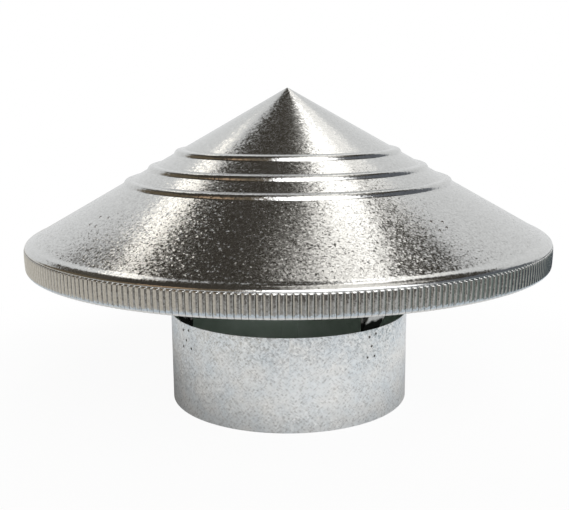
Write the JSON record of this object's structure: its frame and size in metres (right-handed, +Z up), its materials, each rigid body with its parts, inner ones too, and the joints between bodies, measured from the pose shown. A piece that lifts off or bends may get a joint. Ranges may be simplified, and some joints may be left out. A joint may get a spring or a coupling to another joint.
{
  "type": "chimney cap",
  "caption": "Conical sheet-metal rain cap with raised rings and a fluted rim, held on straps above a round collar that slides into a flue pipe.",
  "frame": {"origin": "centre of the collar's bottom edge, on the flue's axis", "axes": "+Z up along the flue's axis, -Y towards the front of the picture's view, +X to its right"},
  "size_m": [0.4336, 0.4336, 0.2612],
  "materials": {
    "hat_steel": "bright galvanised, fine spangle",
    "collar_steel": "dull galvanised, fine spangle",
    "strap_steel": "galvanised"
  },
  "bodies": {
    "root": {"hat": "hat_steel", "collar": "collar_steel", "strap_back_right": "strap_steel", "strap_back_left": "strap_steel", "strap_front_left": "strap_steel", "strap_front_right": "strap_steel"}
  },
  "joints": []
}
